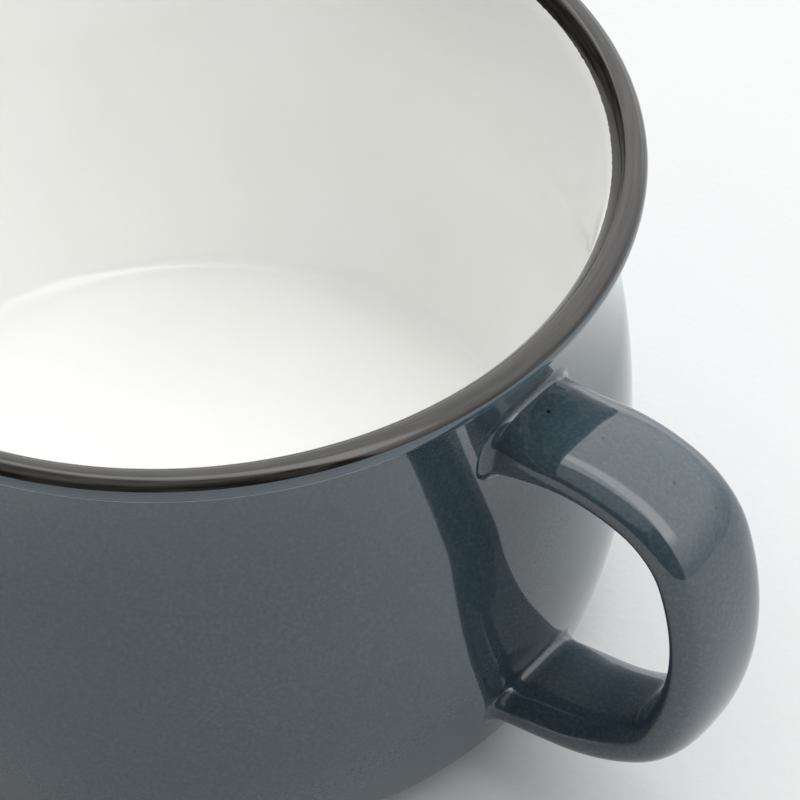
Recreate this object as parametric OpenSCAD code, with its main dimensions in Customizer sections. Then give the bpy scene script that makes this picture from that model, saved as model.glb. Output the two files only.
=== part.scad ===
// Soup mug in glazed stoneware: a pot-bellied bowl with a rolled lip and one strap handle.
// The bowl stands on z = 0, its axis is the Z axis and the handle points along +X.

/* [Bowl] */
// Diameter over the rolled lip
rim_d = 120; // [110:1:132]
// Height from the table to the top of the lip
mug_h = 79; // [74:1:86]
// How far the waist draws in from the lip's outer edge
waist_step = 2.7; // [2.4:0.1:3.2]
// Depth of the waist below the top of the lip
waist_drop = 16.2; // [14:0.2:18]
// How far the belly swells out past the waist
belly_swell = 3.3; // [2.5:0.1:4.5]
// Height of the widest point above the table
belly_rise = 29.4; // [26:0.2:33]
// Radius of the hollow curve between the waist and the lip
waist_curve_r = 60; // [50:1:72]
// Radius of the wall's outer curve below the widest point
lower_curve_r = 75; // [65:1:90]
// Radius of the wall's inner curve below the widest point, tighter so that the wall thickens
inner_curve_r = 42; // [38:1:50]
// Radius of the heel between the wall and the underside
heel_r = 8; // [6:0.5:10]
// Thickness of the wall with its glaze
wall_t = 3.4; // [2.8:0.1:4]
// Thickness of the floor with its glaze
floor_t = 5; // [4:0.2:6]
// Radius of the corner between the wall and the floor inside
floor_corner_r = 3.5; // [2.5:0.25:6]

/* [Lip] */
// Radius of the rolled bead that forms the lip
lip_r = 1.95; // [1.8:0.05:2.1]
// Radius of the hollow under the bead
lip_fillet_r = 0.8; // [0.6:0.1:1.1]
// Radius of the bead's inner flank
lip_flank_r = 7; // [6:0.5:8]
// Depth of the dark band's inner edge below the top of the lip
band_drop = 2.4; // [2:0.1:3]
// Angle of the dark band's outer edge above the bead's middle, in degrees
band_angle = 10; // [0:1:25]

/* [Foot] */
// Clearance between the underside of the heel and the table
foot_h = 2; // [1.4:0.2:3]
// Distance from the heel's lowest line to the foot ring's outer side
foot_inset = 3; // [2:0.2:5]
// Width of the foot ring
foot_w = 4; // [3:0.2:5]
// Rounding of the foot ring's edges
foot_edge_r = 0.7; // [0.4:0.1:1]
// Height of the recess inside the foot ring
recess_h = 2.6; // [2.4:0.2:4]

/* [Glaze] */
// Thickness of the glaze coats
glaze_t = 0.4; // [0.3:0.05:0.6]

/* [Handle] */
// Depth of the upper joint's centre below the top of the lip
upper_drop = 16.5; // [15.5:0.25:18]
// Height of the lower joint's centre above the table
lower_rise = 16.5; // [15:0.5:20]
// Angle at which the upper arm leaves the wall, in degrees
rise_angle = 33; // [28:0.5:36]
// Radius of the crown over the upper arm
crown_r = 24; // [21:0.5:27]
// Radius of the shoulder where the strap turns down
shoulder_r = 11.5; // [10:0.5:13]
// Radius of the elbow below the grip
elbow_r = 13.5; // [12:0.5:16]
// Radius of the sweep back to the wall
sweep_r = 27; // [23:0.5:30]
// Width of the strap at its two joints
root_w = 16; // [14:0.2:18]
// Width of the strap over the shoulder
shoulder_w = 15.7; // [14:0.1:18]
// Width of the strap below the grip
elbow_w = 15; // [13:0.2:18]
// Thickness of the strap at its joints and over the shoulder
root_t = 6.6; // [6:0.1:7.8]
// Thickness of the strap below the grip
elbow_t = 7.6; // [6.6:0.1:8.6]
// How far the slip joints spread round the strap on the wall
joint_spread = 1.3; // [1:0.1:1.8]
// How far the upper joint spreads up the wall above the strap
crown_spread = 6.2; // [3:0.2:6.6]
// Length of strap over which the slip joints run out
joint_l = 5.5; // [4.5:0.25:6]

/* [Hidden] */
$fn = 120;

// Steps along each arc of the bowl's outline
bead_steps = 12;
fillet_steps = 5;
flank_steps = 6;
neck_steps = 6;
hollow_steps = 7;
belly_steps = 8;
lower_steps = 8;
heel_steps = 9;
corner_steps = 9;
edge_steps = 4;

// Main radii and heights of the glazed bowl
rim_r = rim_d / 2;
waist_r = rim_r - waist_step;
belly_r = waist_r + belly_swell;
waist_z = mug_h - waist_drop;
belly_z = belly_rise;

// Below the waist the wall swings out along a hollow arc and back along a full one
hollow_share = 0.35;
fall = waist_z - belly_z;
swing_r = (pow(fall, 2) + pow(belly_swell, 2)) / (2 * belly_swell);
swing = asin(fall / swing_r);
hollow_r = swing_r * hollow_share;
upper_curve_r = swing_r - hollow_r;

// Centres of the arcs that make the bowl's outline
bead_c = [rim_r - lip_r, mug_h - lip_r];
waist_c = [waist_r + waist_curve_r, waist_z];
hollow_c = [waist_r + hollow_r, waist_z];
upper_c = [belly_r - upper_curve_r, belly_z];
lower_c = [belly_r - lower_curve_r, belly_z];
inner_c = [belly_r - wall_t - inner_curve_r, belly_z];
heel_c = inside_corner(lower_c, lower_curve_r, heel_r, foot_h);
fillet_c = meet(bead_c, lip_r + lip_fillet_r, waist_c, waist_curve_r - lip_fillet_r);
flank_c = meet(bead_c, lip_flank_r - lip_r, waist_c, waist_curve_r + wall_t - lip_flank_r);
floor_z = recess_h + floor_t;
corner_c = inside_corner(inner_c, inner_curve_r, floor_corner_r, floor_z);

// Angles at which one arc of the outline hands over to the next
fillet_a = bearing(fillet_c - bead_c);
neck_a = bearing(fillet_c - waist_c);
flank_a = bearing(bead_c - flank_c);
inner_neck_a = bearing(flank_c - waist_c);
heel_a = bearing(heel_c - lower_c);
corner_a = bearing(corner_c - inner_c);
band_z = mug_h - band_drop;

// Foot ring, set in from the heel's lowest line
foot_r = heel_c[0] - foot_inset;
recess_r = foot_r - foot_w;

// Handle: turns of its five arcs in degrees, and the sections' squareness
bend_turns = [48.5, 54, 42.5, 28, 27];
section_power = 0.85;
section_sides = 28;
bend_steps = [7, 9, 7, 5, 5];
root_steps = 6;
blunt_step = 4;
crown_power = 1.5;
cap_shares = [0.7, 0.35];

// Headings of the centre line at the ends of its arcs
headings = [for (k = [0:5]) rise_angle - sum_of(bend_turns, k)];
joint_up = [wall_r(mug_h - upper_drop, 0), mug_h - upper_drop];
joint_low = [wall_r(lower_rise, 0), lower_rise];

// The grip's radius and the lower arm's straight run bring the strap to its lower joint
fixed_radii = [crown_r, shoulder_r, 0, elbow_r, sweep_r];
missing = joint_low - joint_up - travel(fixed_radii, 5);
grip_way = turn_way(2);
end_way = [cos(headings[5]), sin(headings[5])];
grip_r = cross2(missing, end_way) / cross2(grip_way, end_way);
run_l = cross2(grip_way, missing) / cross2(grip_way, end_way);
bend_radii = [crown_r, shoulder_r, grip_r, elbow_r, sweep_r];
bend_lengths = [for (k = [0:4]) bend_radii[k] * bend_turns[k] * PI / 180];
strap_l = sum_of(bend_lengths, 5) + run_l;

// Where the strap is measured: its joints' fillets, then its arcs, then its straight run.
// Each station of a fillet has its distance along the strap and its share of the spread
root_angles = [for (i = [0:root_steps]) 90 * i / root_steps];
upper_root = [for (a = root_angles) [joint_l * (1 - cos(a)), 1 - sin(a)]];
lower_root = [for (i = [root_steps:-1:0]) [strap_l - upper_root[i][0], upper_root[i][1]]];
middle = [for (k = [0:4])
    for (i = [1:bend_steps[k]])
        let (s = sum_of(bend_lengths, k) + bend_lengths[k] * i / bend_steps[k])
        if (s > joint_l && s < strap_l - joint_l) s];

function sum_of(list, count) = count <= 0 ? 0 : list[count - 1] + sum_of(list, count - 1);
function cross2(a, b) = a[0] * b[1] - a[1] * b[0];
function bearing(v) = atan2(v[1], v[0]);
function unsigned(a) = a < 0 ? a + 360 : a;
function ease(a, b, share) = a + (b - a) * (1 - cos(180 * share)) / 2;

// Points along an arc from one angle to another
function arc(c, r, from, to, steps) =
    [for (i = [0:steps]) let (a = from + (to - from) * i / steps) c + r * [cos(a), sin(a)]];

// Where two circles cross, at the lower of the two places
function meet(c1, r1, c2, r2) =
    let (d = norm(c2 - c1),
         u = (c2 - c1) / d,
         along = (d * d + r1 * r1 - r2 * r2) / (2 * d),
         off = sqrt(max(0, r1 * r1 - along * along)))
    c1 + along * u - off * [-u[1], u[0]];

// Centre of a rounding of radius r inside a circle, resting on the line z = base
function inside_corner(c, big_r, r, base) =
    [c[0] + sqrt(pow(big_r - r, 2) - pow(c[1] - base - r, 2)), base + r];

// Outline of the bowl outside, d below its glazed surface, from the band's edge to the heel
function outer_line(d) = concat(
    arc(bead_c, lip_r - d, band_angle, fillet_a, bead_steps),
    arc(fillet_c, lip_fillet_r + d, fillet_a + 180, unsigned(neck_a), fillet_steps),
    arc(waist_c, waist_curve_r + d, unsigned(neck_a), 180, neck_steps),
    arc(hollow_c, hollow_r + d, 180, 180 + swing, hollow_steps),
    arc(upper_c, upper_curve_r - d, swing, 0, belly_steps),
    arc(lower_c, lower_curve_r - d, 0, heel_a, lower_steps),
    arc(heel_c, heel_r - d, heel_a, -90, heel_steps));

// Outline of the bowl inside, d below its glazed surface, from the bead down to the waist
function neck_line(d) = concat(
    arc(flank_c, lip_flank_r - d, flank_a, unsigned(inner_neck_a), flank_steps),
    arc(waist_c, waist_curve_r + wall_t - d, unsigned(inner_neck_a), 180, neck_steps));

// The dark band's inner edge on that outline
function band_edge(d) =
    let (r = lip_flank_r - d,
         on_flank = band_z > flank_c[1] + r * sin(inner_neck_a))
    on_flank
        ? [flank_c[0] - sqrt(pow(r, 2) - pow(band_z - flank_c[1], 2)), band_z]
        : [waist_c[0] - sqrt(pow(waist_curve_r + wall_t - d, 2) - pow(band_z - waist_z, 2)), band_z];

// Outline of the lip, d below its glazed surface, from the band's outer edge to its inner edge
function lip_line(d) = concat(
    arc(bead_c, lip_r - d, band_angle, flank_a, bead_steps),
    [for (p = neck_line(d)) if (p[1] > band_z) p],
    [band_edge(d)]);

// Outline of the bowl inside, d below its glazed surface, from the band's edge to the floor
function inner_line(d) = concat(
    [band_edge(d)],
    [for (p = neck_line(d)) if (p[1] < band_z) p],
    arc(hollow_c, hollow_r + wall_t - d, 180, 180 + swing, hollow_steps),
    arc(upper_c, upper_curve_r - wall_t + d, swing, 0, belly_steps),
    arc(inner_c, inner_curve_r + d, 0, corner_a, lower_steps),
    arc(corner_c, floor_corner_r + d, corner_a, -90, corner_steps),
    [[0, floor_z - d]]);

// Foot ring and recess, from the heel inwards
function foot_line() = concat(
    [[foot_r, foot_h + glaze_t]],
    arc([foot_r - foot_edge_r, foot_edge_r], foot_edge_r, 0, -90, edge_steps),
    arc([recess_r + foot_edge_r, foot_edge_r], foot_edge_r, -90, -180, edge_steps),
    [[recess_r, recess_h], [0, recess_h]]);

// The same list read from its end
function reversed(list) = [for (i = [len(list) - 1:-1:0]) list[i]];

// The list without points that repeat the one before
function distinct(list) =
    [for (i = [0:len(list) - 1]) if (i == 0 || norm(list[i] - list[i - 1]) > glaze_t / 1000) list[i]];

// Radius of the bowl at a height, d below its glazed surface
function wall_r(z, d) =
    z > waist_z
        ? waist_c[0] - sqrt(pow(waist_curve_r + d, 2) - pow(z - waist_z, 2))
    : z > waist_z - (hollow_r + d) * sin(swing)
        ? hollow_c[0] - sqrt(pow(hollow_r + d, 2) - pow(z - waist_z, 2))
    : z > belly_z
        ? upper_c[0] + sqrt(pow(upper_curve_r - d, 2) - pow(z - belly_z, 2))
    : z > heel_c[1] + (heel_r - d) * sin(heel_a)
        ? lower_c[0] + sqrt(pow(lower_curve_r - d, 2) - pow(z - belly_z, 2))
    : heel_c[0] + sqrt(max(0, pow(heel_r - d, 2) - pow(z - heel_c[1], 2)));

// Distance of the wall from the plane x = 0 at a point of the YZ plane
function wall_x(y, z, d) = sqrt(pow(wall_r(z, d), 2) - y * y);

// Way that the centre line goes for each millimetre of radius of arc k
function turn_way(k) =
    [sin(headings[k]) - sin(headings[k + 1]), cos(headings[k + 1]) - cos(headings[k])];
function travel(radii, count) =
    count <= 0 ? [0, 0] : radii[count - 1] * turn_way(count - 1) + travel(radii, count - 1);

// Point and heading of the centre line at distance s from the upper joint
function arc_at(s, k = 0) =
    k > 4 || s <= sum_of(bend_lengths, k + 1) ? k : arc_at(s, k + 1);
function strap_at(s) =
    let (k = arc_at(s),
         rest = s - sum_of(bend_lengths, k),
         start = joint_up + travel(bend_radii, k))
    k > 4
        ? [start + rest * end_way, headings[5]]
        : let (h = headings[k] - rest / bend_radii[k] * 180 / PI)
          [start + bend_radii[k] * [sin(headings[k]) - sin(h), cos(h) - cos(headings[k])], h];

// Width and thickness of the strap at distance s from the upper joint
function strap_w(s) =
    let (share = 3 * s / strap_l)
    share < 1 ? ease(root_w, shoulder_w, share)
    : share < 2 ? ease(shoulder_w, elbow_w, share - 1)
    : ease(elbow_w, root_w, share - 2);
function strap_t(s) =
    let (share = 3 * s / strap_l)
    share < 1 ? root_t
    : share < 2 ? ease(root_t, elbow_t, share - 1)
    : ease(elbow_t, root_t, share - 2);

// How far the joint nearest to s spreads at angle a of the section; the upper one is drawn up
function spread_at(s, a) =
    s < strap_l / 2
        ? joint_spread + (crown_spread - joint_spread) * pow(max(0, cos(a)), crown_power)
        : joint_spread;

// Section of the strap at distance s, grown on all sides and by a share of the joint's spread:
// points [x, y, z]
function rounded(value) = sign(value) * pow(abs(value), section_power);
function section(s, grow, spread_share = 0) =
    let (at = strap_at(s), p = at[0], h = at[1])
    [for (j = [0:section_sides - 1])
        let (a = 360 * j / section_sides,
             out = grow + spread_share * spread_at(s, a),
             u = (strap_t(s) / 2 + out) * rounded(cos(a)),
             v = (strap_w(s) / 2 + out) * rounded(sin(a)))
        [p[0] - u * sin(h), v, p[1] + u * cos(h)]];

// The same section near a joint, drawn back to the wall in proportion to its distance
function rooted(s, grow, spread_share, d) =
    let (far = s < strap_l / 2 ? joint_l : strap_l - joint_l,
         share = (s < strap_l / 2 ? s : strap_l - s) / joint_l,
         free = section(far, grow),
         here = section(s, grow, spread_share))
    [for (j = [0:section_sides - 1])
        let (gap = free[j][0] - wall_x(free[j][1], free[j][2], d))
        [wall_x(here[j][1], here[j][2], d) + gap * share, here[j][1], here[j][2]]];

// Rings of a joint's fillet, from the wall outwards; without its spread it is the bare strap
function root_rings(root, grow, spreads, d, from, to) =
    [for (i = [from:to]) rooted(root[i][0], grow, spreads ? root[i][1] : 0, d)];
function middle_rings(grow) = [for (s = middle) section(s, grow)];
function strap_rings(grow, spreads, d) = concat(
    root_rings(upper_root, grow, spreads, d, 0, root_steps),
    middle_rings(grow),
    root_rings(lower_root, grow, spreads, d, 0, root_steps));

// Rings of a flat cap on the wall, shrinking towards the middle of a footprint
function mean(ring) = [for (i = [0:2]) sum_of([for (p = ring) p[i]], len(ring)) / len(ring)];
function on_wall(y, z, d) = [wall_x(y, z, d), y, z];
function cap_ring(ring, share, d) =
    let (m = mean(ring))
    [for (p = ring) on_wall(m[1] + (p[1] - m[1]) * share, m[2] + (p[2] - m[2]) * share, d)];

// Faces between neighbouring rings; a loop joins its last ring to its first one, and
// splits each face on the way back along the diagonal that the touching surface has
function ring_faces(count, out, looped) =
    [for (i = [0:count - (looped ? 1 : 2)])
        for (j = [0:section_sides - 1])
            let (n = section_sides,
                 a = i * n,
                 b = ((i + 1) % count) * n,
                 k = (j + 1) % n)
            each i < out
                ? [[a + j, b + k, b + j], [a + j, a + k, b + k]]
                : [[a + j, a + k, b + j], [a + k, b + k, b + j]]];

// Solid through a row of rings, closed by a point at each end
module ringed_solid(rings, first_tip, last_tip) {
    count = len(rings);
    n = section_sides;
    tip = count * n;
    points = concat([for (r = rings) each r], [first_tip, last_tip]);
    first_fan = [for (j = [0:n - 1]) [tip, (j + 1) % n, j]];
    last_fan = [for (j = [0:n - 1]) [tip + 1, (count - 1) * n + j, (count - 1) * n + (j + 1) % n]];
    polyhedron(points, concat(ring_faces(count, count, false), first_fan, last_fan), convexity = 6);
}

// Solid whose rings run along one surface and come back along another
module looped_solid(outside, inside) {
    rings = concat(outside, reversed(inside));
    polyhedron([for (r = rings) each r], ring_faces(len(rings), len(outside), true), convexity = 6);
}

// Footprint of a joint on the wall, cut straight through the outer coat
module footprint(ring) {
    rotate([90, 0, 90])
        linear_extrude(belly_r + root_t)
            polygon([for (p = ring) [p[1], p[2]]]);
}

function footprint_ring(root, i, d) =
    [for (p = rooted(root[i][0], 0, root[i][1], 0)) on_wall(p[1], p[2], d)];

// Slip between the strap and the wall, from the wall to a blunt edge on the strap
module slip_joint(root, from, to) {
    looped_solid(
        root_rings(root, -glaze_t, true, glaze_t, from, to),
        root_rings(root, -glaze_t, false, glaze_t, from, to));
}

module bowl_body() {
    color("#e9e2d3")
        rotate_extrude()
            polygon(distinct(concat(
                reversed(inner_line(glaze_t)),
                reversed(lip_line(glaze_t)),
                outer_line(glaze_t),
                foot_line())));
}

module liner_glaze() {
    color("#f4f3ee")
        rotate_extrude()
            polygon(distinct(concat(inner_line(0), reversed(inner_line(glaze_t)))));
}

module rim_glaze() {
    color("#2b2926")
        rotate_extrude()
            polygon(distinct(concat(lip_line(0), reversed(lip_line(glaze_t)))));
}

module outer_glaze() {
    color("#4b5d69")
        difference() {
            rotate_extrude()
                polygon(distinct(concat(
                    outer_line(0),
                    [[foot_r, foot_h], [foot_r, foot_h + glaze_t]],
                    reversed(outer_line(glaze_t)))));
            footprint(footprint_ring(upper_root, 0, 0));
            footprint(footprint_ring(lower_root, root_steps, 0));
        }
}

module base_glaze() {
    color("#4b5d69")
        translate([0, 0, recess_h - glaze_t])
            cylinder(h = glaze_t, r = recess_r);
}

module handle() {
    rings = strap_rings(-glaze_t, false, glaze_t);
    first = rings[0];
    last = rings[len(rings) - 1];
    first_m = mean(first);
    last_m = mean(last);
    color("#e4dccb")
        ringed_solid(
            concat([for (share = reversed(cap_shares)) cap_ring(first, share, glaze_t)],
                   rings,
                   [for (share = cap_shares) cap_ring(last, share, glaze_t)]),
            on_wall(first_m[1], first_m[2], glaze_t),
            on_wall(last_m[1], last_m[2], glaze_t));
}

module upper_slip_joint() {
    color("#d8cfbc")
        slip_joint(upper_root, 0, blunt_step);
}

module lower_slip_joint() {
    color("#d8cfbc")
        slip_joint(lower_root, root_steps - blunt_step, root_steps);
}

module handle_glaze() {
    outside = concat(
        [footprint_ring(upper_root, 0, glaze_t)],
        strap_rings(0, true, 0),
        [footprint_ring(lower_root, root_steps, glaze_t)]);
    inside = concat(
        root_rings(upper_root, -glaze_t, true, glaze_t, 0, blunt_step),
        root_rings(upper_root, -glaze_t, false, glaze_t, blunt_step, root_steps),
        middle_rings(-glaze_t),
        root_rings(lower_root, -glaze_t, false, glaze_t, 0, root_steps - blunt_step),
        root_rings(lower_root, -glaze_t, true, glaze_t, root_steps - blunt_step, root_steps));
    color("#4b5d69")
        looped_solid(outside, inside);
}

bowl_body();
liner_glaze();
outer_glaze();
rim_glaze();
base_glaze();
handle();
upper_slip_joint();
lower_slip_joint();
handle_glaze();
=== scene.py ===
import math

import bmesh
import bpy
from mathutils import Matrix, Vector


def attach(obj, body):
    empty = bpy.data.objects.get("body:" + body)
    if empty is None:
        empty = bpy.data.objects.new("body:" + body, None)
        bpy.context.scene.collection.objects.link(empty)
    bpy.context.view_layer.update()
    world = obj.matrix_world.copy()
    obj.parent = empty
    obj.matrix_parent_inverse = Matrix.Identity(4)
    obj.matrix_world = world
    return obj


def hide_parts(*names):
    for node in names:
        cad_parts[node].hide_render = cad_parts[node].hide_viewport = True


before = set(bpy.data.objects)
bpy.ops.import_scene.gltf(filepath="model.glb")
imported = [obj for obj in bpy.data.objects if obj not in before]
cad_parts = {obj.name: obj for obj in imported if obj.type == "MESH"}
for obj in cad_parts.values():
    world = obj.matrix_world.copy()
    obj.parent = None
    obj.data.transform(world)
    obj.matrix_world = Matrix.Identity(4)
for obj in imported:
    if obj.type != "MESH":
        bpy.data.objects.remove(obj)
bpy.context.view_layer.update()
mm = 0.001


# Hex colours are written as they look on a screen; the shaders want them linear
def linearColour(hexColour):
    channels = [int(hexColour[k:k + 2], 16) / 255 for k in (1, 3, 5)]
    return [c / 12.92 if c <= 0.04045 else ((c + 0.055) / 1.055) ** 2.4 for c in channels] + [1]


# Adds a shader node; an input is a value, a colour or the output that feeds it, and stops
# are those of a colour ramp from left to right, of which two stand there already
def addNode(tree, kind, inputs=None, stops=(), **settings):
    node = tree.nodes.new(kind)
    for key, value in settings.items():
        setattr(node, key, value)
    for key, value in (inputs or {}).items():
        if isinstance(value, bpy.types.NodeSocket):
            tree.links.new(value, node.inputs[key])
        else:
            node.inputs[key].default_value = value
    for k, (position, colour) in enumerate(stops):
        elements = node.color_ramp.elements
        element = elements[k] if k < 2 else elements.new(position)
        element.position, element.color = position, linearColour(colour)
    return node


# Starts a material, whose patterns are laid out on the object's own coordinates
def newMaterial(name):
    material = bpy.data.materials.new(name)
    material.use_nodes = True
    tree = material.node_tree
    tree.nodes.clear()
    return material, tree, addNode(tree, "ShaderNodeTexCoord").outputs["Object"]


# Lays colours over a base. Each has an output to follow, in metres, a span of it in
# millimetres, and the share of the colour at both ends of the span
def overlaid(tree, base, layers):
    for follow, span, shares, colour in layers:
        share = addNode(tree, "ShaderNodeMapRange", {
            "Value": follow, "From Min": span[0] * mm, "From Max": span[1] * mm,
            "To Min": shares[0], "To Max": shares[1]}, interpolation_type="SMOOTHSTEP")
        base = addNode(tree, "ShaderNodeMix", {
            "Factor": share.outputs[0], 6: base, 7: linearColour(colour)},
            data_type="RGBA").outputs[2]
    return base


# The bowl: one turned outline, in millimetres, from tangent arcs
bowl = dict(
    rimR=60, height=79,             # the radius over the lip, and the height of its top
    waistStep=2.7, waistDrop=16.2,  # the waist's place, in from the rim and down from the top
    bellySwell=3.3, bellyRise=29.4, # the belly's, out from the waist and up from the table
    neckR=60, hollowShare=0.35, lowerR=75, innerR=42, heelR=8, cornerR=3.5,
    wall=3.4, floor=5,              # with the glaze on both sides
    lipR=1.95, lipInset=1.64,       # the lip's roll, and its centre in from the rim
    skirtR=0.35, skirtOut=0.25, skirtDrop=2.43,     # the roll's lower edge
    bandTurn=23, bandDrop=2.1,      # the dark band's outer edge, in degrees, and its inner one
    lipHollowR=0.6, flankR=7,       # roundings from the lip to the neck, outside and inside
    creaseDrop=4.56, creaseOut=0.22, creaseW=0.2,   # a fine ridge of glaze below the lip
    creaseZone=0.6, creaseSteps=36, # heights up and down from it with close points
    plainSteps=3,                   # and least steps beyond them, and under the glaze
    footH=2, footInset=3, footW=4, footEdgeR=0.7, recessH=2.6, glaze=0.4,
    floorRings=(36, 24, 12, 0), recessRings=(28, 14, 0),    # radii of points on flat ground
    segments=288,                   # round the axis: 1.3 mm each at the lip
    arcStep=2.2, tightStep=6,       # turn of an arc from point to point, in degrees
    neckSteps=10, bellySteps=12,    # but at least so many steps on the long shallow arcs
    tightR=1.2, skirtLeastR=0.05,   # arcs up to this are tight; the skirt's least in the clay
    bandGap=0.01, closest=0.005, weld=0.002,        # points nearer are left out, or merged
    sharpTurn=35,                   # edges that turn more, in degrees, stay sharp
)


def bearing(v):
    return math.degrees(math.atan2(v[1], v[0])) % 360


def arcPoints(centre, radius, start, end, least=1):
    step = bowl["arcStep"] if radius > bowl["tightR"] else bowl["tightStep"]
    steps = max(least, math.ceil(abs(end - start) / step))
    angles = [math.radians(start + (end - start) * k / steps) for k in range(steps + 1)]
    return [Vector((centre[0] + radius * math.cos(a), centre[1] + radius * math.sin(a))) for a in angles]


# Where two circles cross, at the lower of the two places
def lowerCrossing(c1, r1, c2, r2):
    way = c2 - c1
    d = way.length
    way.normalize()
    along = (d * d + r1 * r1 - r2 * r2) / (2 * d)
    off = math.sqrt(max(0, r1 * r1 - along * along))
    return c1 + along * way - off * Vector((-way.y, way.x))


# Centre of a rounding that rests on a level and touches a big circle from inside
def roundingCentre(centre, bigR, r, level):
    rise = centre.y - level - r
    return Vector((centre.x + math.sqrt((bigR - r) ** 2 - rise ** 2), level + r))


def bowlShape(b):
    waistR = b["rimR"] - b["waistStep"]
    waistZ = b["height"] - b["waistDrop"]
    fall = waistZ - b["bellyRise"]
    swingR = (fall ** 2 + b["bellySwell"] ** 2) / (2 * b["bellySwell"])
    hollowR = swingR * b["hollowShare"]
    upperR = swingR - hollowR
    bellyR = waistR + b["bellySwell"]
    s = dict(waistZ=waistZ, hollowR=hollowR, upperR=upperR,
             swing=math.degrees(math.asin(fall / swingR)))
    s["bead"] = Vector((b["rimR"] - b["lipInset"], b["height"] - b["lipR"]))
    s["skirt"] = Vector((b["rimR"] + b["skirtOut"] - b["skirtR"], b["height"] - b["skirtDrop"]))
    reach = s["skirt"] - s["bead"]
    lean = math.acos((b["lipR"] - b["skirtR"]) / reach.length)
    s["facetA"] = bearing(reach) - 360 + math.degrees(lean)
    s["neck"] = Vector((waistR + b["neckR"], waistZ))
    s["hollow"] = Vector((waistR + hollowR, waistZ))
    s["upper"] = Vector((bellyR - upperR, b["bellyRise"]))
    s["lower"] = Vector((bellyR - b["lowerR"], b["bellyRise"]))
    s["heel"] = roundingCentre(s["lower"], b["lowerR"], b["heelR"], b["footH"])
    s["inner"] = Vector((bellyR - b["wall"] - b["innerR"], b["bellyRise"]))
    s["corner"] = roundingCentre(s["inner"], b["innerR"], b["cornerR"], b["recessH"] + b["floor"])
    s["lipHollow"] = lowerCrossing(s["skirt"], b["skirtR"] + b["lipHollowR"],
                                   s["neck"], b["neckR"] - b["lipHollowR"])
    s["flank"] = lowerCrossing(s["bead"], b["flankR"] - b["lipR"],
                               s["neck"], b["neckR"] + b["wall"] - b["flankR"])
    s["hollowA"] = bearing(s["lipHollow"] - s["skirt"]) - 360
    s["neckA"] = bearing(s["lipHollow"] - s["neck"])
    s["flankA"] = bearing(s["bead"] - s["flank"])
    s["innerNeckA"] = bearing(s["flank"] - s["neck"])
    s["heelA"] = bearing(s["heel"] - s["lower"]) - 360
    s["cornerA"] = bearing(s["corner"] - s["inner"]) - 360
    s["bandZ"] = b["height"] - b["bandDrop"]
    s["footR"] = s["heel"].x - b["footInset"]
    s["recessR"] = s["footR"] - b["footW"]
    return s


shape = bowlShape(bowl)


# The neck's outer side, with the ridge on it where it is the surface
def neckArc(depth):
    b, s, r = bowl, shape, bowl["neckR"] + depth
    creaseZ = b["height"] - b["creaseDrop"]
    rises = [(creaseZ + off - s["waistZ"]) / b["neckR"] for off in (b["creaseZone"], -b["creaseZone"])]
    turns = [180 - math.degrees(math.asin(rise)) for rise in rises]
    points = (arcPoints(s["neck"], r, s["neckA"], turns[0], b["plainSteps"])
              + arcPoints(s["neck"], r, *turns, b["plainSteps"] if depth else b["creaseSteps"])
              + arcPoints(s["neck"], r, turns[1], 180, b["neckSteps"]))
    if not depth:
        for p in points:
            p.x += b["creaseOut"] * math.exp(-((p.y - creaseZ) / b["creaseW"]) ** 2)
    return points


# Outside of the bowl from the dark band down to the heel, or a skin's depth inside it
def outerLine(depth):
    b, s = bowl, shape
    skirtR = max(b["skirtLeastR"], b["skirtR"] - depth)
    return (arcPoints(s["bead"], b["lipR"] - depth, b["bandTurn"], s["facetA"])
            + arcPoints(s["skirt"], skirtR, s["facetA"], s["hollowA"])
            + arcPoints(s["lipHollow"], b["lipHollowR"] + depth, s["hollowA"] + 180, s["neckA"])
            + neckArc(depth)
            + arcPoints(s["hollow"], s["hollowR"] + depth, 180, 180 + s["swing"], b["neckSteps"])
            + arcPoints(s["upper"], s["upperR"] - depth, s["swing"], 0, b["bellySteps"])
            + arcPoints(s["lower"], b["lowerR"] - depth, 0, s["heelA"], b["bellySteps"])
            + arcPoints(s["heel"], b["heelR"] - depth, s["heelA"], -90))


# Inside of the bowl from the bead down to the waist
def neckLine(depth):
    b, s = bowl, shape
    return (arcPoints(s["flank"], b["flankR"] - depth, s["flankA"], s["innerNeckA"])
            + arcPoints(s["neck"], b["neckR"] + b["wall"] - depth, s["innerNeckA"], 180, b["neckSteps"]))


# Where the dark band ends inside, on the wall or a skin's depth in it
def bandEdge(depth):
    r, c, z = bowl["flankR"] - depth, shape["flank"], shape["bandZ"]
    return Vector((c.x - math.sqrt(r ** 2 - (z - c.y) ** 2), z))


# The dark band, over the lip and down to its edge inside
def lipLine(depth):
    b, s = bowl, shape
    return (arcPoints(s["bead"], b["lipR"] - depth, b["bandTurn"], s["flankA"])
            + [p for p in neckLine(depth) if p.y > s["bandZ"] + b["bandGap"]] + [bandEdge(depth)])


# Inside of the bowl from the dark band's edge down to the floor's middle
def innerLine(depth):
    b, s = bowl, shape
    return ([bandEdge(depth)] + [p for p in neckLine(depth) if p.y < s["bandZ"] - b["bandGap"]]
            + arcPoints(s["hollow"], s["hollowR"] + b["wall"] - depth, 180, 180 + s["swing"],
                        b["neckSteps"])
            + arcPoints(s["upper"], s["upperR"] - b["wall"] + depth, s["swing"], 0, b["bellySteps"])
            + arcPoints(s["inner"], b["innerR"] + depth, 0, s["cornerA"])
            + arcPoints(s["corner"], b["cornerR"] + depth, s["cornerA"], -90)
            + [Vector((r, b["recessH"] + b["floor"] - depth)) for r in b["floorRings"]])


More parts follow.
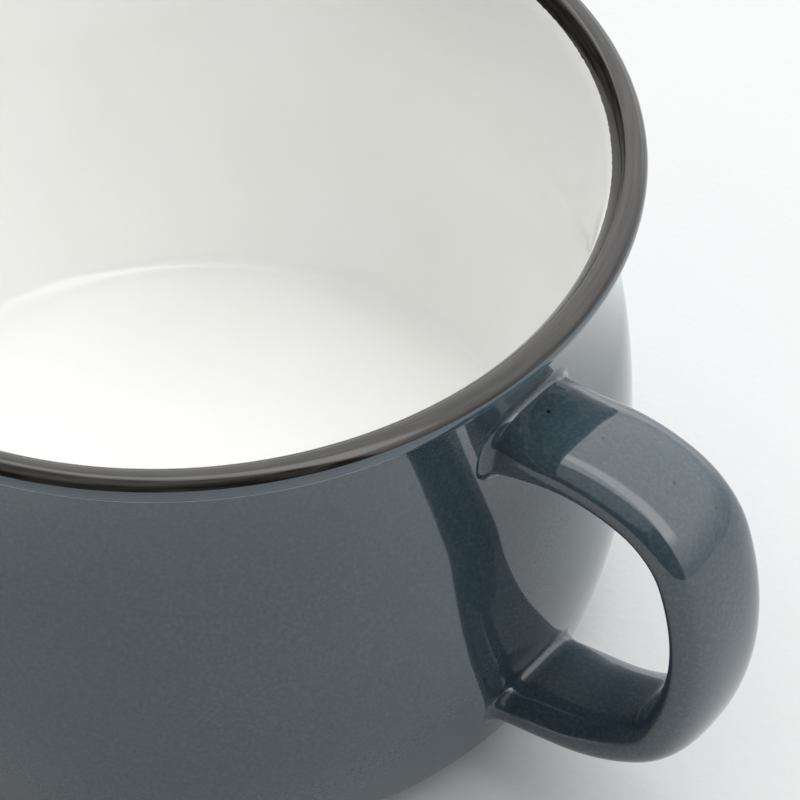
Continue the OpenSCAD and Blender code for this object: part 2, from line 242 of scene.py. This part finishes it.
# The foot ring's outside, its flat and the recess within it
def footLine():
    b, s = bowl, shape
    e = b["footEdgeR"]
    return (arcPoints((s["footR"] - e, e), e, 0, -90) + arcPoints((s["recessR"] + e, e), e, -90, -180)
            + [Vector((r, b["recessH"])) for r in (s["recessR"], *b["recessRings"])])


# Radius of the glazed wall at a height, in millimetres
def wallRadius(z):
    s = shape
    if z > s["waistZ"]:
        return s["neck"].x - math.sqrt(bowl["neckR"] ** 2 - (z - s["waistZ"]) ** 2)
    if z > s["waistZ"] - s["hollowR"] * math.sin(math.radians(s["swing"])):
        return s["hollow"].x - math.sqrt(s["hollowR"] ** 2 - (z - s["waistZ"]) ** 2)
    if z > bowl["bellyRise"]:
        return s["upper"].x + math.sqrt(s["upperR"] ** 2 - (z - bowl["bellyRise"]) ** 2)
    return s["lower"].x + math.sqrt(bowl["lowerR"] ** 2 - (z - bowl["bellyRise"]) ** 2)


# How far out the wall stands beside the middle plane, or a depth inside it
def wallX(y, z, depth=0):
    return math.sqrt((wallRadius(z) - depth) ** 2 - y * y)


# Makes an object of a finished bmesh, smooth but for edges that turn more than so many degrees
def asObject(bm, name, material, sharp):
    mesh = bpy.data.meshes.new(name)
    bm.to_mesh(mesh)
    bm.free()
    mesh.shade_smooth()
    mesh.set_sharp_from_angle(angle=math.radians(sharp))
    mesh.materials.append(material)
    piece = bpy.data.objects.new(name, mesh)
    bpy.context.scene.collection.objects.link(piece)
    return piece


# Spins a quarter of an outline of millimetre points, and sets copies of it round the axis
def turned(name, outline, material, closed):
    points = [p for k, p in enumerate(outline)
              if k == 0 or (p - outline[k - 1]).length > bowl["closest"]]
    bm = bmesh.new()
    verts = [bm.verts.new((p.x * mm, 0, p.y * mm)) for p in points]
    edges = [bm.edges.new(pair) for pair in zip(verts, verts[1:])]
    if closed:
        edges.append(bm.edges.new((verts[-1], verts[0])))
    bmesh.ops.spin(bm, geom=verts + edges, cent=(0, 0, 0), axis=(0, 0, 1), angle=math.pi / 2,
                   steps=bowl["segments"] // 4)
    for angle in (math.pi / 2, math.pi):
        copied = bmesh.ops.duplicate(bm, geom=bm.verts[:] + bm.edges[:] + bm.faces[:])["geom"]
        copiedVerts = [part for part in copied if isinstance(part, bmesh.types.BMVert)]
        bmesh.ops.rotate(bm, verts=copiedVerts, cent=(0, 0, 0), matrix=Matrix.Rotation(angle, 3, "Z"))
    bmesh.ops.remove_doubles(bm, verts=bm.verts, dist=bowl["weld"] * mm)
    bmesh.ops.recalc_face_normals(bm, faces=bm.faces)
    return asObject(bm, name, material, bowl["sharpTurn"])


# Slate-blue glaze: a sprayed coat over stoneware, fired glossy; it reads as fine mottling
# under a clear, gently uneven surface. It thins and breaks paler over the edge of the lip, and
# that band is painted lighter still as a sheen. A pale line round the ridge below it is a
# painted highlight, and a few burst bubbles have left pinholes on the handle, painted as dark
# dots for the shade inside them.
# A pattern is the size of its grains in millimetres, the noise's detail and its roughness
slate = dict(
    tones=[(0.34, "#313f48"), (0.5, "#37454e"), (0.66, "#3f4e57")],
    # The paler band is thin glaze painted lighter as a sheen, the ridge colour a painted highlight and
    # the pit colour painted shade in the pinholes
    thinSheen="#43525c", ridgeHighlight="#8f9ba6", pitShade="#12181d",
    speckle=(0.55, 2, 0.6), cloud=(26, 2, 0.5), cloudShare=0.14,
    wave=(19, 0, 0.5), peel=(2.6, 1, 0.5), waveDepth=0.035, peelDepth=0.004,
    thinSheenSpan=(75, 75.5), thinSheenShare=0.8,             # heights between which it turns paler: thinner glaze, painted lighter as a sheen
    ridgeHighlightSpan=(0.15, 0.4),                          # so near the ridge the pale painted highlight is full, or a little
    pinholes=[(60.7, -0.5, 68.9, 0.42), (68.9, -0.4, 69.6, 0.3),    # place and radius
              (79.1, 0.2, 68.2, 0.34), (83.8, 2.5, 65, 0.3)],
    pinholeShadeCore=0.4,                                # share of the radius that is all dark, painted shade
    roughness=0.055, ior=1.7,
)


def slateGlaze():
    g = slate
    material, tree, place = newMaterial("slateBlueGlazeSprayed")
    noise = {}
    for name in ("speckle", "cloud", "wave", "peel"):
        size, detail, roughness = g[name]
        noise[name] = addNode(tree, "ShaderNodeTexNoise", {
            "Vector": place, "Scale": 1 / (size * mm), "Detail": detail,
            "Roughness": roughness}).outputs["Fac"]
    clouds = addNode(tree, "ShaderNodeMath", {0: noise["cloud"], 1: g["cloudShare"]},
                     operation="MULTIPLY").outputs[0]
    blend = addNode(tree, "ShaderNodeMath", {0: noise["speckle"], 1: 1 - g["cloudShare"], 2: clouds},
                    operation="MULTIPLY_ADD").outputs[0]
    colour = addNode(tree, "ShaderNodeValToRGB", {"Fac": blend}, g["tones"]).outputs["Color"]
    rise = addNode(tree, "ShaderNodeSeparateXYZ", {0: place}).outputs["Z"]
    ridgeZ = (bowl["height"] - bowl["creaseDrop"]) * mm
    over = addNode(tree, "ShaderNodeMath", {0: rise, 1: ridgeZ}, operation="SUBTRACT").outputs[0]
    off = addNode(tree, "ShaderNodeMath", {0: over}, operation="ABSOLUTE").outputs[0]
    # A paler band of thin glaze painted lighter as a sheen, and a pale line round the ridge that is a
    # painted highlight
    layers = [(rise, g["thinSheenSpan"], (0, g["thinSheenShare"]), g["thinSheen"]),
              (off, g["ridgeHighlightSpan"], (1, 0), g["ridgeHighlight"])]
    # Dark dots on the pinholes: painted shade inside the pits
    for x, y, z, r in g["pinholes"]:
        away = addNode(tree, "ShaderNodeVectorMath", {0: place, 1: (x * mm, y * mm, z * mm)},
                       operation="DISTANCE").outputs["Value"]
        layers.append((away, (g["pinholeShadeCore"] * r, r), (1, 0), g["pitShade"]))
    waves = addNode(tree, "ShaderNodeBump", {
        "Height": noise["wave"], "Distance": g["waveDepth"] * mm}).outputs[0]
    bump = addNode(tree, "ShaderNodeBump", {
        "Height": noise["peel"], "Distance": g["peelDepth"] * mm, "Normal": waves}).outputs[0]
    shader = addNode(tree, "ShaderNodeBsdfPrincipled", {
        "Base Color": overlaid(tree, colour, layers), "Roughness": g["roughness"], "IOR": g["ior"],
        "Normal": bump})
    addNode(tree, "ShaderNodeOutputMaterial", {"Surface": shader.outputs["BSDF"]})
    return material


# Iron-dark rim glaze: brushed round the lip on the wheel, so it lies in faint rings
rim = dict(
    tones=[(0.38, "#100f0d"), (0.66, "#332d27")],
    streak=0.4, run=7, streakDepth=0.003,           # width, length and height, in millimetres
    streakDetail=3, drySpan=(0.35, 0.7), roughness=(0.07, 0.14),    # rougher in pale streaks
    ior=1.62,
)


def rimGlaze():
    g = rim
    material, tree, place = newMaterial("ironDarkRimGlazeBrushed")
    flat = addNode(tree, "ShaderNodeVectorMath", {0: place, 1: (1, 1, 0)},
                   operation="MULTIPLY").outputs[0]
    across = addNode(tree, "ShaderNodeVectorMath", {0: flat}, operation="LENGTH").outputs["Value"]
    ring = addNode(tree, "ShaderNodeMath", {0: across, 1: g["streak"] * mm},
                   operation="DIVIDE").outputs[0]
    along = addNode(tree, "ShaderNodeMapping", {
        "Vector": place, "Scale": [1 / (g["run"] * mm)] * 2 + [1 / (g["streak"] * mm)]}).outputs[0]
    noise = addNode(tree, "ShaderNodeTexNoise", {
        "Vector": along, "W": ring, "Scale": 1, "Detail": g["streakDetail"]},
        noise_dimensions="4D").outputs["Fac"]
    colour = addNode(tree, "ShaderNodeValToRGB", {"Fac": noise}, g["tones"]).outputs["Color"]
    bump = addNode(tree, "ShaderNodeBump", {
        "Height": noise, "Distance": g["streakDepth"] * mm}).outputs[0]
    roughness = addNode(tree, "ShaderNodeMapRange", {
        "Value": noise, "From Min": g["drySpan"][0], "From Max": g["drySpan"][1],
        "To Min": g["roughness"][0], "To Max": g["roughness"][1]}, interpolation_type="SMOOTHSTEP")
    shader = addNode(tree, "ShaderNodeBsdfPrincipled", {
        "Base Color": colour, "Roughness": roughness.outputs[0], "IOR": g["ior"], "Normal": bump})
    addNode(tree, "ShaderNodeOutputMaterial", {"Surface": shader.outputs["BSDF"]})
    return material


# White liner glaze: poured in and out, glossy, a warm white. The dark rim glaze laps over
# its upper edge in a ragged line, and turns brown where it thins out
liner = dict(
    tones=[(0.35, "#f6f6f3"), (0.65, "#f8f8f6")], lap="#1a1714", lapThin="#75685b",
    cloud=(22, 2), peel=(3.5, 1), peelDepth=0.004,  # patterns: size and detail
    ragged=(0.8, 2), lapDepth=0.35,                 # the lap's edge, and how far it wanders
    lapSoft=0.04, lapRun=0.12,                      # it turns brown over one, and dark over both
    roughness=0.07, ior=1.5,
)


def linerGlaze():
    g = liner
    material, tree, place = newMaterial("whiteLinerGlazePoured")
    noise = {}
    for name in ("cloud", "ragged", "peel"):
        size, detail = g[name]
        noise[name] = addNode(tree, "ShaderNodeTexNoise", {
            "Vector": place, "Scale": 1 / (size * mm), "Detail": detail}).outputs["Fac"]
    colour = addNode(tree, "ShaderNodeValToRGB", {"Fac": noise["cloud"]}, g["tones"]).outputs["Color"]
    rise = addNode(tree, "ShaderNodeSeparateXYZ", {0: place}).outputs["Z"]
    lap = addNode(tree, "ShaderNodeMath", {0: noise["ragged"], 1: g["lapDepth"] * mm, 2: rise},
                  operation="MULTIPLY_ADD").outputs[0]
    edge = shape["bandZ"]
    layers = [(lap, (edge, edge + g["lapSoft"]), (0, 1), g["lapThin"]),
              (lap, (edge, edge + g["lapRun"]), (0, 1), g["lap"])]
    bump = addNode(tree, "ShaderNodeBump", {
        "Height": noise["peel"], "Distance": g["peelDepth"] * mm}).outputs[0]
    shader = addNode(tree, "ShaderNodeBsdfPrincipled", {
        "Base Color": overlaid(tree, colour, layers), "Roughness": g["roughness"], "IOR": g["ior"],
        "Normal": bump})
    addNode(tree, "ShaderNodeOutputMaterial", {"Surface": shader.outputs["BSDF"]})
    return material


# Bisque stoneware: bare fired clay, matt, with fine grog; the joining slip is a little darker
clay = dict(
    bodyTones=[(0.3, "#6f6251"), (0.4, "#a99a83"), (0.6, "#cdbfa9")],
    slipTones=[(0.3, "#6f6251"), (0.4, "#a08f76"), (0.6, "#c3b49b")],
    grain=(0.5, 4, 0.65), grainDepth=0.05,          # the grog's size, detail and roughness
    roughness=0.85,
)


def bisqueClay(name, tones):
    g = clay
    material, tree, place = newMaterial(name)
    size, detail, roughness = g["grain"]
    grain = addNode(tree, "ShaderNodeTexNoise", {
        "Vector": place, "Scale": 1 / (size * mm), "Detail": detail,
        "Roughness": roughness}).outputs["Fac"]
    colour = addNode(tree, "ShaderNodeValToRGB", {"Fac": grain}, tones).outputs["Color"]
    bump = addNode(tree, "ShaderNodeBump", {
        "Height": grain, "Distance": g["grainDepth"] * mm}).outputs[0]
    shader = addNode(tree, "ShaderNodeBsdfPrincipled", {
        "Base Color": colour, "Roughness": g["roughness"], "Normal": bump})
    addNode(tree, "ShaderNodeOutputMaterial", {"Surface": shader.outputs["BSDF"]})
    return material


slateMaterial = slateGlaze()
linerMaterial = linerGlaze()
rimMaterial = rimGlaze()
clayMaterial = bisqueClay("stonewareBisque", clay["bodyTones"])
slipMaterial = bisqueClay("joiningSlipFired", clay["slipTones"])
print("materials made")

# The coats are skins with both their sides; the clay fills what they leave
skin = bowl["glaze"]
heelFoot = Vector((shape["footR"], bowl["footH"]))
heelFootIn = Vector((shape["footR"], bowl["footH"] + skin))
outerCoat = turned("outer_coat", outerLine(0) + [heelFoot, heelFootIn] + outerLine(skin)[::-1],
                   slateMaterial, True)
linerCoat = turned("liner_coat", innerLine(0)[::-1] + innerLine(skin), linerMaterial, False)
rimCoat = turned("rim_coat", lipLine(0) + lipLine(skin)[::-1], rimMaterial, True)
bowlClay = turned("bowl_clay", innerLine(skin)[::-1] + lipLine(skin)[::-1] + outerLine(skin)
                  + [heelFootIn] + footLine(), clayMaterial, False)
for piece, node, slot in ((outerCoat, "outer_glaze", "slate_blue"),
                          (linerCoat, "liner_glaze", "liner"),
                          (rimCoat, "rim_glaze", "rim_dark"),
                          (bowlClay, "bowl_body", "stoneware")):
    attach(piece, "root")
    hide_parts(node)
print("bowl turned")


# The handle: a strap along five arcs and a straight run, in millimetres and degrees
strap = dict(
    upperDrop=16.5, lowerRise=16.5, riseAngle=33,   # ends on the wall, and the way it sets off
    radii=[24, 11.5, 0, 13.5, 27],  # of the arcs; the middle one is found to fit
    turns=[48.5, 54, 42.5, 28, 27],
    rootW=16, shoulderW=15.7, elbowW=15, rootT=6.6, elbowT=7.6,     # width and thickness
    squareness=0.85, sides=64, step=1.1,
    jointL=5.5, jointSteps=16,      # how far along the strap the joints run out
    sunk=0.3,                       # how deep the strap's ends go into the wall's glaze
    spread=1.3,                     # how far a joint spreads on the wall at its sides
    upperTop=1, lowerTop=1.8, topFade=1.5,          # and at its top, fading to the sides
    upperReach=0.3, topTuck=0.1,    # share of jointL that the upper fillet takes, less at its top
    lowerReach=0.5, lowerLean=3,    # least share for the lower fillet, and spread for a whole one
    crownRise=4.3, crownL=9,        # how far, and from where, the strap's top is drawn up
    crownFlat=0.6, crownFade=1.7,   # how flat that is across the strap, and how soon it fades
    sharpTurn=60,                   # edges that turn more, in degrees, stay sharp
)


# The strap's whole way, with the middle radius and the straight run that make it reach the wall
def strapRoute(h):
    headings = [h["riseAngle"]]
    for turn in h["turns"]:
        headings.append(headings[-1] - turn)
    rad = [math.radians(a) for a in headings]
    arcs = range(len(h["turns"]))
    ways = [Vector((math.sin(rad[k]) - math.sin(rad[k + 1]), math.cos(rad[k + 1]) - math.cos(rad[k])))
            for k in arcs]
    top = bowl["height"] - h["upperDrop"]
    start, end = Vector((wallRadius(top), top)), Vector((wallRadius(h["lowerRise"]), h["lowerRise"]))
    radii = list(h["radii"])
    missing = end - start - sum((ways[k] * radii[k] for k in arcs), Vector((0, 0)))
    out = Vector((math.cos(rad[-1]), math.sin(rad[-1])))
    area = ways[2].x * out.y - ways[2].y * out.x
    radii[2] = (missing.x * out.y - missing.y * out.x) / area
    run = (ways[2].x * missing.y - ways[2].y * missing.x) / area
    lengths = [radii[k] * math.radians(h["turns"][k]) for k in arcs]
    return dict(start=start, headings=rad, ways=ways, radii=radii, lengths=lengths, out=out,
                total=sum(lengths) + run)


route = strapRoute(strap)


# Place and heading of the strap's middle at a distance from its upper joint
def strapAt(s):
    at = route["start"].copy()
    for h0, r, way, length in zip(route["headings"], route["radii"], route["ways"], route["lengths"]):
        if s <= length:
            h = h0 - s / r
            return at + r * Vector((math.sin(h0) - math.sin(h), math.cos(h) - math.cos(h0))), h
        at += way * r
        s -= length
    return at + s * route["out"], route["headings"][-1]


def eased(a, b, share):
    return a + (b - a) * (1 - math.cos(math.pi * share)) / 2


# Width and thickness at a distance, which change in three equal thirds
def strapSize(s):
    h, share = strap, 3 * s / route["total"]
    if share < 1:
        return eased(h["rootW"], h["shoulderW"], share), h["rootT"]
    if share < 2:
        return eased(h["shoulderW"], h["elbowW"], share - 1), eased(h["rootT"], h["elbowT"], share - 1)
    return eased(h["elbowW"], h["rootW"], share - 2), eased(h["elbowT"], h["rootT"], share - 2)


# Point of the strap's section at angle a, grown on its own side
def sectionPoint(s, a, grow=0):
    (x, z), heading = strapAt(s)
    width, thick = strapSize(s)
    power = strap["squareness"]
    u = (thick / 2 + grow) * math.copysign(abs(math.cos(a)) ** power, math.cos(a))
    v = (width / 2 + grow) * math.copysign(abs(math.sin(a)) ** power, math.sin(a))
    return Vector((x - u * math.sin(heading), v, z + u * math.cos(heading)))


# A point of the free strap, its top drawn up towards the wall at the upper joint
def strapPoint(s, a, grow=0):
    share = max(0, 1 - s / strap["crownL"])
    lift = strap["crownRise"] * max(0, math.cos(a)) ** strap["crownFlat"] * share ** strap["crownFade"]
    return sectionPoint(s, a, grow) + Vector((0, 0, lift))


# The same near a joint: drawn back to the wall, with the joint's fillet round it
def jointPoint(s, a, depth=0):
    h, length = strap, strap["jointL"]
    upper = s < route["total"] / 2
    near = s if upper else route["total"] - s
    share = near / length
    top = max(0, math.cos(a)) ** h["topFade"]
    spread = h["spread"] + ((h["upperTop"] if upper else h["lowerTop"]) - h["spread"]) * top
    if upper:
        reach = length * (h["upperReach"] - h["topTuck"] * top)
    else:
        reach = length * max(h["lowerReach"], spread / h["lowerLean"])
    inner = min(1, near / reach)
    grow = spread * (1 - math.sqrt(max(0, 1 - (1 - inner) ** 2)))
    free = strapPoint(length if upper else route["total"] - length, a)
    here = strapPoint(s, a, grow)
    gap = free.x - wallX(free.y, free.z)
    return Vector((wallX(here.y, here.z, depth) + gap * share, here.y, here.z))


# All points round the strap at a distance, at a joint's end as deep in the wall as given
def strapRing(s, depth=0):
    upper = s < route["total"] / 2
    near = s if upper else route["total"] - s
    angles = [2 * math.pi * k / strap["sides"] for k in range(strap["sides"])]
    if near < strap["jointL"]:
        return [jointPoint(s, a, depth) for a in angles]
    return [strapPoint(s, a) for a in angles]


# Bridges one circle of points after another along the strap
def sweptStrap(name, material):
    h = strap
    angles = [math.pi / 2 * k / h["jointSteps"] for k in range(h["jointSteps"])]
    root = [h["jointL"] * (1 - math.cos(a)) for a in angles]
    count = math.ceil((route["total"] - 2 * h["jointL"]) / h["step"])
    middle = [h["jointL"] + (route["total"] - 2 * h["jointL"]) * k / count for k in range(count + 1)]
    stations = root + middle + [route["total"] - s for s in root[::-1]]
    rings = ([strapRing(0, h["sunk"])] + [strapRing(s) for s in stations]
             + [strapRing(route["total"], h["sunk"])])
    bm = bmesh.new()
    last = None
    for ring in rings:
        circle = bmesh.ops.create_circle(bm, segments=h["sides"], radius=mm)["verts"]
        for vert, place in zip(circle, ring):
            vert.co = place * mm
        edges = list({edge for vert in circle for edge in vert.link_edges})
        if last:
            bmesh.ops.bridge_loops(bm, edges=last + edges)
        last = edges
    bmesh.ops.recalc_face_normals(bm, faces=bm.faces)
    return asObject(bm, name, material, h["sharpTurn"])


handleCoat = sweptStrap("handle_coat", slateMaterial)
wallOfCoat = handleCoat.modifiers.new("coatThickness", "SOLIDIFY")
wallOfCoat.thickness = bowl["glaze"] * mm
wallOfCoat.offset = -1
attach(handleCoat, "root")
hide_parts("handle_glaze")
print("handle swept")

for node, material in (("handle", clayMaterial), ("upper_slip_joint", slipMaterial),
                       ("lower_slip_joint", slipMaterial), ("base_glaze", slateMaterial)):
    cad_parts[node].data.materials.clear()
    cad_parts[node].data.materials.append(material)


# Table: a pale, faintly textured sheet of paper that runs out of sight
table = dict(
    size=3, sharpTurn=35,                           # half its side, in metres
    colour="#d8d9d9", roughness=0.42,
    grain=1.6, grainDepth=0.05, grainDetail=3,      # in millimetres
)


def paleTable():
    g = table
    material, tree, place = newMaterial("paleTablePaper")
    grain = addNode(tree, "ShaderNodeTexNoise", {
        "Vector": place, "Scale": 1 / (g["grain"] * mm), "Detail": g["grainDetail"]}).outputs["Fac"]
    bump = addNode(tree, "ShaderNodeBump", {
        "Height": grain, "Distance": g["grainDepth"] * mm}).outputs[0]
    shader = addNode(tree, "ShaderNodeBsdfPrincipled", {
        "Base Color": linearColour(g["colour"]), "Roughness": g["roughness"], "Normal": bump})
    addNode(tree, "ShaderNodeOutputMaterial", {"Surface": shader.outputs["BSDF"]})
    return material


bm = bmesh.new()
bmesh.ops.create_grid(bm, x_segments=1, y_segments=1, size=table["size"])
tableTop = asObject(bm, "table_top", paleTable(), table["sharpTurn"])

# Camera: where the photograph was taken from, in the mug's own axes
view = dict(
    azimuth=39.2, pitch=46.15, lens=150, sensor=36, clipEnd=20,
    aim=(0, 0, 77.05),                      # the lip's middle, in millimetres
    offset=(-28.655, 32.175, 426.492),      # its place from the camera: right, above, ahead
)
azimuth, pitch = math.radians(view["azimuth"]), math.radians(view["pitch"])
right = Vector((math.cos(azimuth), math.sin(azimuth), 0))
level = Vector((-math.sin(azimuth), math.cos(azimuth), 0))
ahead = level * math.cos(pitch) - Vector((0, 0, math.sin(pitch)))
above = level * math.sin(pitch) + Vector((0, 0, math.cos(pitch)))
cameraData = bpy.data.cameras.new("photoCamera")
cameraData.lens, cameraData.sensor_width = view["lens"], view["sensor"]
cameraData.clip_end = view["clipEnd"]
camera = bpy.data.objects.new("photoCamera", cameraData)
offset = view["offset"]
place = Vector(view["aim"]) - offset[0] * right - offset[1] * above - offset[2] * ahead
camera.matrix_world = Matrix((
    (right.x, above.x, -ahead.x, place.x * mm), (right.y, above.y, -ahead.y, place.y * mm),
    (right.z, above.z, -ahead.z, place.z * mm), (0, 0, 0, 1)))
bpy.context.scene.collection.objects.link(camera)
bpy.context.scene.camera = camera

# Light: bright scrims to the right and behind, as the camera sees it, a lit paper low down
# behind the mug, and a long strip overhead, in a dim room with a pale ceiling. Each light is
# a product of sides. A side is a plane through the mug, given by its normal to the right,
# level and up, and the light at both ends of a span of the direction's height over it
studio = dict(
    scrims=[dict(normal=(0, 0, 1), span=(0, 0.6), light=(0.8, 1.95)),
            dict(normal=(1, 0.3, 0.9), span=(-0.04, 0.04), light=(0, 1)),
            dict(normal=(1.1, 1, 0.1), span=(-0.04, 0.04), light=(0, 1))],
    room=[dict(normal=(-0.35, -0.05, 1), span=(0.64, 0.78), light=(0.08, 0.63))],
    paper=[dict(normal=(0.1, 1, 0), span=(0.5, 0.9), light=(0, 1)),
           dict(normal=(0, 0, 1), span=(0.15, 0.3), light=(1, 0))],
    strip=[dict(normal=(0.643, 0.766, 0), span=(0.12, 0.2), light=(1.8, 0), eitherSide=True),
           dict(normal=(0, 0, 1), span=(0.5, 0.68), light=(0, 1))],
    joined=[("room", "MAXIMUM"), ("paper", "ADD"), ("strip", "ADD")],       # to the scrims
    seen="#f4f5f5",                                 # what the camera sees past the table
)


def studioWorld():
    world = bpy.data.worlds.new("studio")
    world.use_nodes = True
    tree = world.node_tree
    way = addNode(tree, "ShaderNodeTexCoord").outputs["Generated"]
    lights = {}
    for name in ("scrims", "room", "paper", "strip"):
        for side in studio[name]:
            r, l, u = side["normal"]
            normal = (right * r + level * l + Vector((0, 0, u))).normalized()
            over = addNode(tree, "ShaderNodeVectorMath", {0: way, 1: normal},
                           operation="DOT_PRODUCT").outputs["Value"]
            if side.get("eitherSide"):
                over = addNode(tree, "ShaderNodeMath", {0: over}, operation="ABSOLUTE").outputs[0]
            light = addNode(tree, "ShaderNodeMapRange", {
                "Value": over, "From Min": side["span"][0], "From Max": side["span"][1],
                "To Min": side["light"][0], "To Max": side["light"][1]},
                interpolation_type="SMOOTHSTEP").outputs[0]
            if name in lights:
                light = addNode(tree, "ShaderNodeMath", {0: lights[name], 1: light},
                                operation="MULTIPLY").outputs[0]
            lights[name] = light
    light = lights["scrims"]
    for name, operation in studio["joined"]:
        light = addNode(tree, "ShaderNodeMath", {0: light, 1: lights[name]},
                        operation=operation).outputs[0]
    seen = addNode(tree, "ShaderNodeLightPath").outputs["Is Camera Ray"]
    strength = addNode(tree, "ShaderNodeMix", {0: seen, 2: light, 3: 1}).outputs[0]
    background = tree.nodes["Background"]
    background.inputs["Color"].default_value = linearColour(studio["seen"])
    tree.links.new(strength, background.inputs["Strength"])
    return world


bpy.context.scene.world = studioWorld()
bpy.context.scene.view_settings.view_transform = "Standard"
print("stage set")
